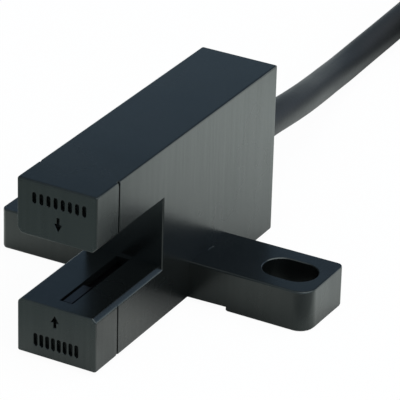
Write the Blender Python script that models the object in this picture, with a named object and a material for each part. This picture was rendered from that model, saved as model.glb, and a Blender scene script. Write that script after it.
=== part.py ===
"""Slot-type photo sensor with a fixed cable.

A one-piece moulded case forms a fork: an emitter in the lower arm shines through a slotted window, across the
sensing slot, on a receiver in the upper arm. A fork-shaped circuit board slides in from the rear and carries the
electronics. A cover closes the rear, and the cable leaves it through a bushing.

Axes: X runs along the mounting bar, Y from the slot's mouth to the cable, Z up. The origin is under the middle of
the case, on the surface that its two feet stand on. Lengths below are in millimetres, and MM turns them to metres.
"""

import math

import bmesh
import bpy
from mathutils import Matrix, Vector

MM = 0.001

# Clearances
FIT = 0.3  # between any two pieces that seat in each other
THROUGH = 1.0  # how far a cutter runs past the face that it opens

# Case, outside
BODY_WIDTH = 10.2
BODY_LENGTH = 41.3
LOWER_ARM_HEIGHT = 6.8
UPPER_ARM_HEIGHT = 6.76
FOOT_DROP = 0.56  # the feet stand this far below the body's underside
EDGE_RADIUS = 0.25

# Sensing slot
SLOT_DEPTH = 14.57
SLOT_GAP = 8.14
SLOT_CHAMFER = 0.5
SLOT_CORNER_RADIUS = 0.35

# Mounting bar, with a foot and a screw slot at each end
BAR_FRONT = 20.9  # from the case's front face
BAR_DEPTH = 8.92
BAR_HEIGHT = 4.62
BAR_SPAN = 41.14
BAR_CORNER_RADIUS = 2.0
FOOT_LENGTH = 10.64
SCREW_SLOT_WIDTH = 4.7
SCREW_SLOT_LENGTH = 6.75
SCREW_SLOT_END_WALL = 1.3  # left between a screw slot and the bar's end
SCREW_SLOT_RIM = 0.1

# Optical axis mark on the sides of both arms, and the optics behind it
AXIS_FROM_FRONT = 4.75
MARK_WIDTH = 0.24
MARK_DEPTH = 0.25
LIGHT_SLIT_X = 0.2
LIGHT_SLIT_WIDTH = 1.7
LIGHT_SLIT_START = 1.75
LIGHT_SLIT_END = 14.1
WINDOW_RIB_WIDTH = 1.1
WINDOW_RIB_LENGTH = 4.3
WINDOW_RIB_RECESS = 0.12
WINDOW_PLATE_WIDTH = 5.0
WINDOW_PLATE_THICKNESS = 0.8

# Case, inside
WALL = 1.1
SLOT_WALL = 0.92
RAIL_HEIGHT = 0.9
RAIL_WIDTH = 0.8
RAIL_GAP = 0.7  # between the wall behind the sensing slot and the rails

# Rear cover
COVER_THICKNESS = 1.6
COVER_LIP = 0.6  # wall of the case that is left around the cover
COVER_EDGE_RADIUS = 0.3
POST_WIDTH = 1.6
POST_HEIGHT = 3.0

# Circuit board
BOARD_THICKNESS = 1.0
BOARD_FACE_X = -1.1  # the side that carries the parts
BOARD_FRONT = 2.3
BOARD_REAR_GAP = 2.2  # between the board and the cover, bridged by the cover's posts
CABLE_NOTCH_DEPTH = 5.4
CABLE_NOTCH_HEIGHT = 7.0

# Light emitter and receiver, in their holders
HOLDER_LENGTH = 4.3
HOLDER_WALL = 1.0
HOLDER_FLOOR = 0.3
PACKAGE_LENGTH = 2.2
PACKAGE_WIDTH = 1.8
PACKAGE_HEIGHT = 1.5
LENS_RADIUS = 0.75
LEAD_THICKNESS = 0.2
LEAD_WIDTH = 0.4
LEAD_LENGTH = 4.6
LEAD_PITCH = 0.9

# Parts on the board. A part's place is measured from the throat of the board's fork or from the board's rear
# end, and from the chamber's floor or ceiling. Its size is its length along the board, its height and its
# thickness. Its legs are given by their places along its upper side and along its lower side.
CHIPS = {
    "amplifier_chip": {
        "place": {"from_throat": 3.5, "from_ceiling": 4.4},
        "size": (4.9, 3.9, 1.4),
        "legs": ((-1.905, -0.635, 0.635, 1.905), (-1.905, -0.635, 0.635, 1.905)),
    },
    "output_transistor": {
        "place": {"from_throat": 2.5, "from_floor": 2.8},
        "size": (2.9, 1.3, 1.0),
        "legs": ((0.0,), (-0.95, 0.95)),
    },
    "voltage_regulator": {
        "place": {"from_end": 3.1, "from_ceiling": 3.9},
        "size": (4.5, 2.5, 1.5),
        "legs": ((-1.5, 0.0, 1.5), ()),
    },
    "protection_diode": {
        "place": {"from_end": 7.2, "from_floor": 3.2},
        "size": (2.7, 1.6, 1.1),
        "legs": ((0.0,), (0.0,)),
    },
}
CAPACITOR_PLACES = (
    {"from_end": 6.4, "from_ceiling": 5.8},
    {"from_end": 2.2, "from_floor": 3.0},
)
CAPACITOR_SIZE = (2.0, 1.25, 0.9)
RESISTOR_COUNT = 4
RESISTOR_SIZE = (1.6, 0.8, 0.5)
RESISTOR_FROM_THROAT = 1.8
RESISTOR_FROM_FLOOR = 5.3
RESISTOR_PITCH = 1.25
LEG_REACH = 0.95
LEG_WIDTH = 0.4
LEG_THICKNESS = 0.18
CHIP_STAND_OFF = 0.1
CHIP_EDGE = 0.15
END_CAP_SHARE = 0.2
END_CAP_RISE = 0.04

# Cable
CABLE_DIAMETER = 4.0
CABLE_EXIT_Z = 10.6
CORE_DIAMETER = 1.1
CORE_ORBIT = 0.8  # of the cores' centres around the cable's axis
BUSHING_DIAMETER = 5.6
BUSHING_FLANGE_THICKNESS = 1.4
BUSHING_COLLAR = 1.5  # stands out of the cover
BUSHING_TAPER = 0.4
CLAMP_THICKNESS = 0.5
CLAMP_LENGTH = 3.0
SHEATH_INSIDE = 3.4  # length of sheath before the board's rear end
PAD_FROM_NOTCH = 3.6
PAD_PITCH = 2.2
SOLDER_RADIUS = 0.8
SOLDER_HEIGHT = 0.6

# Coil of the cable's unseen length, on two ties
COIL_CENTRE = (21.0, 101.0)  # of the turns, which wind inwards below and outwards above
COIL_LEAN = 1.0  # the bundle's middle from that centre
COIL_LEAN_ANGLE = 150.0
COIL_INNER_RADIUS = 18.0
COIL_OUTER_RADIUS = 30.1
COIL_HEIGHT = 8.06
TIE_THICKNESS = 0.6
TIE_WIDTH = 2.6
TIE_ANGLES = (170.0, 318.0)
TAIL_RADIUS = 24.0  # of the arc that the cable's end follows on top of the coil
TAIL_ARC = (98.0, 56.0)  # degrees, clockwise
END_CORE_LENGTH = 35.0
END_CORE_DROP = 8.0  # length over which a bared core comes down on the coil
END_CORE_SPREAD = 2.1

# The cable's route from the bushing to the coil: down to the floor, then along it
CABLE_ROUTE = [
    (0.0, 22.45, 10.6),
    (0.0, 25.6, 10.58),
    (-0.12, 29.0, 10.38),
    (-0.43, 32.4, 9.84),
    (-1.04, 36.8, 8.97),
    (-2.26, 42.5, 7.54),
    (-4.09, 49.5, 5.6),
    (-5.87, 56.6, 3.8),
    (-6.96, 62.3, 2.68),
    (-7.59, 67.2, 2.14),
    (-7.84, 72.0, 2.02),
    (-8.02, 78.0, 2.0),
    (-8.18, 82.8, 2.0),
    (-8.3, 87.0, 2.03),
]
ROUTE_STEP = 9.0  # between the tube's points

# Worked out from the sizes above
FRONT = -BODY_LENGTH / 2
REAR = BODY_LENGTH / 2
BASE = FOOT_DROP
SLOT_FLOOR = BASE + LOWER_ARM_HEIGHT
SLOT_ROOF = SLOT_FLOOR + SLOT_GAP
TOP = SLOT_ROOF + UPPER_ARM_HEIGHT
SLOT_BACK = FRONT + SLOT_DEPTH
SLOT_MIDDLE = (SLOT_FLOOR + SLOT_ROOF) / 2
BAR_Y = FRONT + BAR_FRONT + BAR_DEPTH / 2
SCREW_SLOT_X = BAR_SPAN / 2 - SCREW_SLOT_END_WALL - SCREW_SLOT_LENGTH / 2
INNER_X = BODY_WIDTH / 2 - WALL
INNER_BASE = BASE + WALL
INNER_TOP = TOP - WALL
LOWER_CEILING = SLOT_FLOOR - SLOT_WALL
UPPER_FLOOR = SLOT_ROOF + SLOT_WALL
COVER_INNER = REAR - COVER_THICKNESS
AXIS_Y = FRONT + AXIS_FROM_FRONT
BOARD_BACK_X = BOARD_FACE_X - BOARD_THICKNESS
BOARD_THROAT = SLOT_BACK + WALL + 2 * FIT
BOARD_END = COVER_INNER - BOARD_REAR_GAP
CABLE_NOTCH_FRONT = BOARD_END - CABLE_NOTCH_DEPTH
SHEATH_FRONT = BOARD_END - SHEATH_INSIDE
WINDOW_DEPTH = SLOT_WALL + FIT + WINDOW_PLATE_THICKNESS  # from an arm's slot face to its window plate's back
COIL_MIDDLE_Z = TIE_THICKNESS + FIT + COIL_HEIGHT / 2
COIL_TOP = COIL_MIDDLE_Z + COIL_HEIGHT / 2
BUNDLE_CENTRE = (
    COIL_CENTRE[0] + COIL_LEAN * math.cos(math.radians(COIL_LEAN_ANGLE)),
    COIL_CENTRE[1] + COIL_LEAN * math.sin(math.radians(COIL_LEAN_ANGLE)),
)
CORE_ANGLES = {"brown": 90.0, "black": 210.0, "blue": 330.0}

COLOURS = {
    "housing": ((0.008, 0.009, 0.010), 0.3, 0.0),
    "window": ((0.006, 0.005, 0.009), 0.22, 0.0),
    "holder": ((0.02, 0.02, 0.021), 0.6, 0.0),
    "board": ((0.02, 0.13, 0.06), 0.45, 0.0),
    "emitter_resin": ((0.32, 0.36, 0.5), 0.15, 0.0),
    "receiver_resin": ((0.02, 0.016, 0.02), 0.2, 0.0),
    "chip_body": ((0.025, 0.025, 0.027), 0.45, 0.0),
    "ceramic": ((0.42, 0.31, 0.2), 0.5, 0.0),
    "resistor": ((0.05, 0.05, 0.055), 0.35, 0.0),
    "solder": ((0.62, 0.62, 0.63), 0.3, 1.0),
    "metal": ((0.55, 0.52, 0.45), 0.35, 1.0),
    "rubber": ((0.016, 0.016, 0.017), 0.7, 0.0),
    "sheath": ((0.012, 0.013, 0.014), 0.5, 0.0),
    "tie": ((0.03, 0.03, 0.03), 0.5, 0.0),
    "brown": ((0.16, 0.06, 0.025), 0.45, 0.0),
    "black": ((0.015, 0.015, 0.016), 0.45, 0.0),
    "blue": ((0.02, 0.08, 0.35), 0.45, 0.0),
}


def clear_scene():
    for obj in list(bpy.data.objects):
        bpy.data.objects.remove(obj, do_unlink=True)


def material(name):
    found = bpy.data.materials.get(name)
    if found:
        return found
    colour, roughness, metallic = COLOURS[name]
    made = bpy.data.materials.new(name)
    made.use_nodes = True
    shader = made.node_tree.nodes["Principled BSDF"]
    shader.inputs["Base Color"].default_value = (*colour, 1.0)
    shader.inputs["Roughness"].default_value = roughness
    shader.inputs["Metallic"].default_value = metallic
    return made


def new_object(name, bm):
    """An object from a bmesh whose lengths are in millimetres."""
    bmesh.ops.scale(bm, vec=(MM, MM, MM), verts=bm.verts)
    bmesh.ops.recalc_face_normals(bm, faces=bm.faces)
    mesh = bpy.data.meshes.new(name)
    bm.to_mesh(mesh)
    bm.free()
    obj = bpy.data.objects.new(name, mesh)
    bpy.context.scene.collection.objects.link(obj)
    return obj


def piece(obj, slot, parent):
    """Gives a finished piece its material, its shading and its parent."""
    obj.data.materials.append(material(slot))
    if obj.type == "MESH":
        obj.data.shade_smooth()
        obj.data.set_sharp_from_angle(angle=math.radians(30))
    obj.parent = parent
    return obj


def as_cutter(obj):
    obj.hide_render = True
    obj.display_type = "WIRE"
    return obj


def combine(target, tool, operation):
    """Joins a tool to the target or cuts it away, with a live Boolean modifier."""
    modifier = target.modifiers.new(tool.name, "BOOLEAN")
    modifier.operation = operation
    modifier.solver = "EXACT"
    modifier.object = as_cutter(tool)


def cut(target, *tools):
    for tool in tools:
        combine(target, tool, "DIFFERENCE")


def join(target, *tools):
    for tool in tools:
        combine(target, tool, "UNION")


def block_mesh(low, high):
    bm = bmesh.new()
    bmesh.ops.create_cube(bm, size=1.0)
    low, high = Vector(low), Vector(high)
    bmesh.ops.scale(bm, vec=high - low, verts=bm.verts)
    bmesh.ops.translate(bm, vec=(low + high) / 2, verts=bm.verts)
    return bm


def block(name, low, high, radius=0.0, segments=2, edges=None):
    """A box from corner to corner. The edges that the test picks, or all of them, are rounded."""
    bm = block_mesh(low, high)
    if radius:
        picked = [e for e in bm.edges if edges is None or edges(e)]
        bmesh.ops.bevel(
            bm, geom=picked, offset=radius, segments=segments, profile=0.5, affect="EDGES"
        )
    return new_object(name, bm)


def along(axis):
    """Picks the edges that run along one axis, 0, 1 or 2."""
    return lambda e: abs((e.verts[0].co - e.verts[1].co).normalized()[axis]) > 0.99


def stacked(name, rings):
    """A closed solid through rings of points, each with the same count, and a flat cap at either end."""
    bm = bmesh.new()
    rows = [[bm.verts.new(p) for p in ring] for ring in rings]
    for a, b in zip(rows, rows[1:]):
        for i in range(len(a)):
            j = (i + 1) % len(a)
            bm.faces.new((a[i], a[j], b[j], b[i]))
    bm.faces.new(list(reversed(rows[0])))
    bm.faces.new(rows[-1])
    return new_object(name, bm)


def along_x(name, outline, x0, x1):
    """A prism whose outline of (y, z) points runs from x0 to x1."""
    return stacked(name, [[(x, y, z) for y, z in outline] for x in (x0, x1)])


def along_y(name, outline, y0, y1):
    """A prism whose outline of (x, z) points runs from y0 to y1."""
    return stacked(name, [[(x, y, z) for x, z in outline] for y in (y0, y1)])


def arc(x, y, radius, start, end, steps):
    """Points of an arc in a plane, from one angle in degrees to another."""
    angles = [math.radians(start + (end - start) * i / steps) for i in range(steps + 1)]
    return [(x + radius * math.cos(a), y + radius * math.sin(a)) for a in angles]


def rounded_rectangle(half_x, half_y, radius, steps=6):
    ax, ay = half_x - radius, half_y - radius
    corners = [(ax, ay, 0), (-ax, ay, 90), (-ax, -ay, 180), (ax, -ay, 270)]
    return [p for x, y, a in corners for p in arc(x, y, radius, a, a + 90, steps)]


def obround(half_length, radius, steps=14):
    """A slot's outline, long along X, with round ends."""
    run = half_length - radius
    return arc(run, 0, radius, -90, 90, steps) + arc(-run, 0, radius, 90, 270, steps)


def rod_profile(radius, length):
    return [(0, 0), (radius, 0), (radius, length), (0, length)]


def ring_profile(inner, outer, length):
    return [(inner, 0), (outer, 0), (outer, length), (inner, length)]


def turned(name, profile, place, axis="Y", steps=24):
    """A turned solid. Its profile of (radius, height) points closes on itself or on the axis."""
    bm = bmesh.new()
    verts = [bm.verts.new((r, 0, h)) for r, h in profile]
    pairs = list(zip(verts, verts[1:]))
    if all(r > 0 for r, h in profile):
        pairs.append((verts[-1], verts[0]))
    geometry = verts + [bm.edges.new(p) for p in pairs]
    bmesh.ops.spin(
        bm, geom=geometry, cent=(0, 0, 0), axis=(0, 0, 1), angle=math.tau, steps=steps, use_merge=True
    )
    bmesh.ops.remove_doubles(bm, verts=bm.verts, dist=1e-5)
    if axis == "Y":
        bmesh.ops.rotate(bm, verts=bm.verts, cent=(0, 0, 0), matrix=Matrix.Rotation(-math.pi / 2, 3, "X"))
    obj = new_object(name, bm)
    obj.location = Vector(place) * MM
    return obj


def smooth_line(points, step):
    """Points about a step apart on the smooth curve (Catmull-Rom) through the given ones."""
    knots = [Vector(p) for p in points]
    knots = [2 * knots[0] - knots[1], *knots, 2 * knots[-1] - knots[-2]]
    line = [knots[1]]
    for p0, p1, p2, p3 in zip(knots, knots[1:], knots[2:], knots[3:]):
        count = max(1, round((p2 - p1).length / step))
        for i in range(1, count + 1):
            t = i / count
            line.append(
                0.5
                * (
                    2 * p1
                    + (p2 - p0) * t
                    + (2 * p0 - 5 * p1 + 4 * p2 - p3) * t**2
                    + (3 * p1 - p0 - 3 * p2 + p3) * t**3
                )
            )
    return line


def tube(name, points, diameter):
    """A round tube with filled ends along a list of points."""
    curve = bpy.data.curves.new(name, "CURVE")
    curve.dimensions = "3D"
    curve.bevel_depth = diameter / 2 * MM
    curve.bevel_resolution = 2
    curve.use_fill_caps = True
    spline = curve.splines.new("POLY")
    spline.points.add(len(points) - 1)
    for point, place in zip(spline.points, points):
        point.co = (*(Vector(place) * MM), 1.0)
    obj = bpy.data.objects.new(name, curve)
    bpy.context.scene.collection.objects.link(obj)
    return obj


def slot_cutter():
    """The sensing slot, flared at both side faces so that it leaves a chamfer along its edges."""
    side, flare = BODY_WIDTH / 2, THROUGH
    half_gap = SLOT_GAP / 2
    outer = half_gap + SLOT_CHAMFER + flare
    quarter = [(side - SLOT_CHAMFER, half_gap), (side + flare, outer)]
    right = [(x, -z) for x, z in quarter] + [(x, z) for x, z in reversed(quarter)]
    section = right + [(-x, -z) for x, z in right]
    bm = bmesh.new()
    face = bm.faces.new([bm.verts.new((x, FRONT - THROUGH, SLOT_MIDDLE + z)) for x, z in section])
    made = bmesh.ops.extrude_face_region(bm, geom=[face])["geom"]
    moved = [v for v in made if isinstance(v, bmesh.types.BMVert)]
    bmesh.ops.translate(bm, verts=moved, vec=(0, SLOT_DEPTH + THROUGH, 0))
    inner = [
        e
        for e in bm.edges
        if all(abs(v.co.y - SLOT_BACK) < 1e-4 for v in e.verts)
        and abs(e.verts[0].co.x - e.verts[1].co.x) > BODY_WIDTH / 2
    ]
    bmesh.ops.bevel(bm, geom=inner, offset=SLOT_CORNER_RADIUS, segments=2, profile=0.5, affect="EDGES")
    return new_object("slot_cutter", bm)


def mounting_bar():
    """The bar through the body: full depth at the two feet, and relieved between them."""
    half_x, half_y = BAR_SPAN / 2, BAR_DEPTH / 2
    top = BASE + BAR_HEIGHT
    ease = EDGE_RADIUS
    levels = [(0.0, ease), (ease, 0.0), (top - ease, 0.0), (top - ease * 0.3, ease * 0.3), (top, ease)]
    rings = []
    for z, inset in levels:
        outline = rounded_rectangle(half_x - inset, half_y - inset, BAR_CORNER_RADIUS - inset)
        rings.append([(x, BAR_Y + y, z) for x, y in outline])
    bar = stacked("mounting_bar", rings)
    relief = block(
        "bar_relief",
        (FOOT_LENGTH - half_x, BAR_Y - BAR_DEPTH, -THROUGH),
        (half_x - FOOT_LENGTH, BAR_Y + BAR_DEPTH, BASE),
    )
    cut(bar, relief)
    return bar


def screw_slot_cutter(side):
    """A screw slot through the bar, with its rims eased."""
    top, rim = BASE + BAR_HEIGHT, SCREW_SLOT_RIM
    levels = [(-THROUGH, rim + THROUGH), (rim, 0.0), (top - rim, 0.0), (top + THROUGH, rim + THROUGH)]
    rings = []
    for z, wider in levels:
        outline = obround(SCREW_SLOT_LENGTH / 2 + wider, SCREW_SLOT_WIDTH / 2 + wider)
        rings.append([(side * SCREW_SLOT_X + x, BAR_Y + y, z) for x, y in outline])
    return stacked(f"screw_slot_cutter_{'right' if side > 0 else 'left'}", rings)


def cavity_cutter():
    """The hollow of the case: a rear chamber with an arm's chamber above and below the slot."""
    front, back = FRONT + WALL, SLOT_BACK + WALL
    outline = [
        (front, INNER_BASE),
        (REAR + THROUGH, INNER_BASE),
        (REAR + THROUGH, INNER_TOP),
        (front, INNER_TOP),
        (front, UPPER_FLOOR),
        (back, UPPER_FLOOR),
        (back, LOWER_CEILING),
        (front, LOWER_CEILING),
    ]
    return along_x("cavity_cutter", outline, -INNER_X, INNER_X)


def board_rail(name, x, z0, z1):
    return block(name, (x, SLOT_BACK + WALL + RAIL_GAP, z0), (x + RAIL_WIDTH, BOARD_END, z1))


def board_rails():
    """Two pairs of ribs that hold the board's edges, sunk into the wall that carries them."""
    places = {
        "inner": BOARD_BACK_X - FIT - RAIL_WIDTH,
        "outer": BOARD_FACE_X + FIT,
    }
    sunk = WALL / 2
    rails = []
    for side, x in places.items():
        rails.append(board_rail(f"rail_low_{side}", x, INNER_BASE - sunk, INNER_BASE + RAIL_HEIGHT))
        rails.append(board_rail(f"rail_high_{side}", x, INNER_TOP - RAIL_HEIGHT, INNER_TOP + sunk))
    return rails


def light_slit_cutter(name, low, high):
    x = LIGHT_SLIT_X
    return block(
        name,
        (x - LIGHT_SLIT_WIDTH / 2, FRONT + LIGHT_SLIT_START, low),
        (x + LIGHT_SLIT_WIDTH / 2, FRONT + LIGHT_SLIT_END, high),
    )


def axis_mark_cutters():
    """Narrow grooves down the side faces of both arms, at the optical axis."""
    cutters = []
    levels = {
        "upper": (SLOT_ROOF + SLOT_CHAMFER, TOP + THROUGH),
        "lower": (BASE - THROUGH, SLOT_FLOOR - SLOT_CHAMFER),
    }
    for arm, (low, high) in levels.items():
        for side in (-1, 1):
            xs = sorted((side * (BODY_WIDTH / 2 - MARK_DEPTH), side * (BODY_WIDTH / 2 + THROUGH)))
            cutters.append(
                block(
                    f"axis_mark_{arm}_{'right' if side > 0 else 'left'}",
                    (xs[0], AXIS_Y - MARK_WIDTH / 2, low),
                    (xs[1], AXIS_Y + MARK_WIDTH / 2, high),
                )
            )
    return cutters


def make_case(parent):
    """The moulded case, in one piece: fork, mounting bar, feet, screw slots, light slits and inner rails."""
    half = BODY_WIDTH / 2
    case = block("case", (-half, FRONT, BASE), (half, REAR, TOP), EDGE_RADIUS)
    join(case, mounting_bar())
    cut(case, slot_cutter(), cavity_cutter())
    join(case, *board_rails())
    lip = COVER_LIP
    recess = block(
        "cover_recess",
        (-half + lip, COVER_INNER - FIT, BASE + lip),
        (half - lip, REAR + THROUGH, TOP - lip),
        COVER_EDGE_RADIUS + FIT,
        edges=along(1),
    )
    cut(case, recess)
    cut(
        case,
        light_slit_cutter("lower_slit_cutter", LOWER_CEILING - THROUGH, SLOT_FLOOR + THROUGH),
        light_slit_cutter("upper_slit_cutter", SLOT_ROOF - THROUGH, UPPER_FLOOR + THROUGH),
        *axis_mark_cutters(),
        screw_slot_cutter(-1),
        screw_slot_cutter(1),
    )
    return piece(case, "housing", parent)


def make_rear_cover(parent):
    """The plate that closes the rear, with the cable's hole and two posts that hold the board in."""
    inset = COVER_LIP + FIT
    half = BODY_WIDTH / 2 - inset
    cover = block(
        "rear_cover",
        (-half, COVER_INNER, BASE + inset),
        (half, REAR, TOP - inset),
        COVER_EDGE_RADIUS,
        edges=along(1),
    )
    middle = (BOARD_FACE_X + BOARD_BACK_X) / 2
    for name, z in (("low", INNER_BASE + POST_HEIGHT), ("high", INNER_TOP - POST_HEIGHT)):
        post = block(
            f"cover_post_{name}",
            (middle - POST_WIDTH / 2, BOARD_END + FIT, z - POST_HEIGHT / 2),
            (middle + POST_WIDTH / 2, COVER_INNER + COVER_THICKNESS / 2, z + POST_HEIGHT / 2),
        )
        join(cover, post)
    radius = BUSHING_DIAMETER / 2 + FIT
    hole = rod_profile(radius, COVER_THICKNESS + 2 * THROUGH)
    cut(cover, turned("bushing_hole", hole, (0, COVER_INNER - THROUGH, CABLE_EXIT_Z), steps=32))
    return piece(cover, "housing", parent)


def from_wall(upper, height):
    """A height in an arm's chamber, measured from the outer wall towards the sensing slot."""
    return INNER_TOP - height if upper else INNER_BASE + height


def behind_face(upper, depth):
    """A height in an arm, measured from its slot face into the arm."""
    return SLOT_ROOF + depth if upper else SLOT_FLOOR - depth


def make_window(parent, name, upper):
    """A plate behind the slit, with a rib that fills the slit's front part almost to the arm's face."""
    start = FRONT + LIGHT_SLIT_START + FIT
    plate_front, plate_back = FRONT + WALL + FIT, FRONT + LIGHT_SLIT_END + WALL / 2
    near, far = behind_face(upper, SLOT_WALL + FIT), behind_face(upper, WINDOW_DEPTH)
    plate = [(plate_front, far), (plate_back, far), (plate_back, near), (plate_front, near)]
    face, sunk = behind_face(upper, WINDOW_RIB_RECESS), (near + far) / 2
    stop = start + WINDOW_RIB_LENGTH
    rib = [(start, sunk), (stop, sunk), (stop, face), (start, face)]
    x = LIGHT_SLIT_X
    half, rib_half = WINDOW_PLATE_WIDTH / 2, WINDOW_RIB_WIDTH / 2
    window = along_x(name, plate, x - half, x + half)
    join(window, along_x(f"{name}_rib", rib, x - rib_half, x + rib_half))
    return piece(window, "window", parent)


def make_holder(parent, name, upper):
    """The frame that keeps a light element on the optical axis, open towards the board and the window."""
    left = BOARD_FACE_X + FIT + LEAD_THICKNESS + FIT
    pocket_right = LIGHT_SLIT_X + PACKAGE_WIDTH / 2 + FIT
    window_side = behind_face(upper, WINDOW_DEPTH + FIT)
    low, high = sorted((from_wall(upper, FIT), window_side))
    holder = block(
        name,
        (left, AXIS_Y - HOLDER_LENGTH / 2, low),
        (pocket_right + HOLDER_WALL, AXIS_Y + HOLDER_LENGTH / 2, high),
        EDGE_RADIUS,
        segments=1,
        edges=along(2),
    )
    reach = PACKAGE_LENGTH / 2 + FIT
    floor = FIT + HOLDER_FLOOR
    ceiling = floor + PACKAGE_HEIGHT + 2 * FIT
    low, high = sorted((from_wall(upper, floor), from_wall(upper, ceiling)))
    pocket = block(
        f"{name}_pocket",
        (left - THROUGH, AXIS_Y - reach, low),
        (pocket_right, AXIS_Y + reach, high),
    )
    beyond = window_side - THROUGH if upper else window_side + THROUGH
    low, high = sorted((from_wall(upper, ceiling - FIT), beyond))
    hole = rod_profile(LENS_RADIUS + FIT, high - low)
    place = (LIGHT_SLIT_X, AXIS_Y, low)
    cut(holder, pocket, turned(f"{name}_aperture", hole, place, axis="Z", steps=24))
    return piece(holder, "holder", parent)


def make_light_element(parent, name, slot, upper):
    """A side-looking package: a resin block with a round lens, and two leads that lie along the board."""
    x = LIGHT_SLIT_X
    seat = 2 * FIT + HOLDER_FLOOR
    lens_side = from_wall(upper, seat + PACKAGE_HEIGHT)
    low, high = sorted((from_wall(upper, seat), lens_side))
    element = block(
        name,
        (x - PACKAGE_WIDTH / 2, AXIS_Y - PACKAGE_LENGTH / 2, low),
        (x + PACKAGE_WIDTH / 2, AXIS_Y + PACKAGE_LENGTH / 2, high),
    )
    steps = 5
    dome = [(0, -LENS_RADIUS / 2), (LENS_RADIUS, -LENS_RADIUS / 2)]
    dome += arc(0, 0, LENS_RADIUS, 0, 90 - 90 / steps, steps - 1)
    dome.append((0, LENS_RADIUS))
    if upper:
        dome = [(r, -h) for r, h in dome]
    join(element, turned(f"{name}_lens", dome, (x, AXIS_Y, lens_side), axis="Z", steps=20))
    for side in (-1, 1):
        join(element, *element_lead(name, side, (low + high) / 2 + side * LEAD_PITCH / 2))
    return piece(element, slot, parent)


def element_lead(name, side, z):
    """A lead's strip along the board, and its foot that reaches into the package."""
    label = "high" if side > 0 else "low"
    x = BOARD_FACE_X + FIT
    strip = block(
        f"{name}_lead_{label}",
        (x, AXIS_Y - LEAD_WIDTH, z - LEAD_WIDTH / 2),
        (x + LEAD_THICKNESS, AXIS_Y + LEAD_LENGTH, z + LEAD_WIDTH / 2),
    )
    foot = block(
        f"{name}_foot_{label}",
        (x + LEAD_THICKNESS / 2, AXIS_Y - LEAD_WIDTH / 2, z - LEAD_WIDTH / 3),
        (LIGHT_SLIT_X - PACKAGE_WIDTH / 4, AXIS_Y + LEAD_WIDTH / 2, z + LEAD_WIDTH / 3),
    )
    return strip, foot


def make_board(parent):
    """The board: a fork that reaches into both arms, notched at the rear for the cable."""
    low, high = INNER_BASE + FIT, INNER_TOP - FIT
    front, throat = FRONT + BOARD_FRONT, BOARD_THROAT
    arm_low, arm_high = (behind_face(upper, WINDOW_DEPTH + FIT) for upper in (False, True))
    notch_front = CABLE_NOTCH_FRONT
    notch_low = CABLE_EXIT_Z - CABLE_NOTCH_HEIGHT / 2
    notch_high = CABLE_EXIT_Z + CABLE_NOTCH_HEIGHT / 2
    outline = [
        (front, low),
        (BOARD_END, low),
        (BOARD_END, notch_low),
        (notch_front, notch_low),
        (notch_front, notch_high),
        (BOARD_END, notch_high),
        (BOARD_END, high),
        (front, high),
        (front, arm_high),
        (throat, arm_high),
        (throat, arm_low),
        (front, arm_low),
    ]
    return piece(along_x("circuit_board", outline, BOARD_BACK_X, BOARD_FACE_X), "board", parent)


def gull_wing(name, y, z0, side, x, thickness):
    """A bent leg from a body's side face at height z0 down to the board, on the +Z or the -Z side."""
    knee, toe, half = LEG_REACH * 0.4, LEG_REACH, LEG_THICKNESS / 2
    middle = x + thickness / 2
    outline = [
        (middle + half, -LEG_REACH * 0.3),
        (middle + half, knee),
        (x + 2 * half, knee),
        (x + 2 * half, toe),
        (x, toe),
        (x, knee - 2 * half),
        (middle - half, knee - 2 * half),
        (middle - half, -LEG_REACH * 0.3),
    ]
    outline = [(px, z0 + side * pz) for px, pz in outline]
    return along_y(name, outline, y - LEG_WIDTH / 2, y + LEG_WIDTH / 2)


def board_place(from_throat=None, from_end=None, from_floor=None, from_ceiling=None):
    """The (y, z) place of a part on the board."""
    y = BOARD_END - from_end if from_throat is None else BOARD_THROAT + from_throat
    z = INNER_TOP - from_ceiling if from_floor is None else INNER_BASE + from_floor
    return y, z


def make_chip(parent, name, place, size, legs):
    """A moulded chip that lies on the board, with legs in rows along its upper and lower sides."""
    length, height, thickness = size
    x = BOARD_FACE_X + FIT
    y, z = board_place(**place)
    chip = block(
        name,
        (x + CHIP_STAND_OFF, y - length / 2, z - height / 2),
        (x + CHIP_STAND_OFF + thickness, y + length / 2, z + height / 2),
        CHIP_EDGE,
        segments=1,
    )
    for side, runs in zip((1, -1), legs):
        for i, run in enumerate(runs):
            label = f"{name}_leg_{'high' if side > 0 else 'low'}_{i + 1}"
            join(chip, gull_wing(label, y + run, z + side * height / 2, side, x, thickness))
    piece(chip, "chip_body", parent)


def make_two_pole(parent, name, slot, place, size):
    """A small block with a slightly thicker metal cap at each end, such as a resistor or capacitor."""
    length, height, thickness = size
    x = BOARD_FACE_X + FIT
    y, z = board_place(**place)
    cap = length * END_CAP_SHARE
    levels = [(0, 0), (cap, 0), (cap, END_CAP_RISE)]
    levels += [(length - run, inset) for run, inset in reversed(levels)]
    rings = []
    for run, inset in levels:
        low, high = height / 2 - inset, thickness - inset
        corners = [(x + inset, -low), (x + high, -low), (x + high, low), (x + inset, low)]
        rings.append([(px, y - length / 2 + run, z + pz) for px, pz in corners])
    piece(stacked(name, rings), slot, parent)


def make_electronics(parent):
    """The parts on the board's +X side."""
    for name, chip in CHIPS.items():
        make_chip(parent, name, **chip)
    for i in range(RESISTOR_COUNT):
        place = {
            "from_throat": RESISTOR_FROM_THROAT,
            "from_floor": RESISTOR_FROM_FLOOR + i * RESISTOR_PITCH,
        }
        make_two_pole(parent, f"resistor_{i + 1}", "resistor", place, RESISTOR_SIZE)
    for i, place in enumerate(CAPACITOR_PLACES):
        make_two_pole(parent, f"capacitor_{i + 1}", "ceramic", place, CAPACITOR_SIZE)


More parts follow.
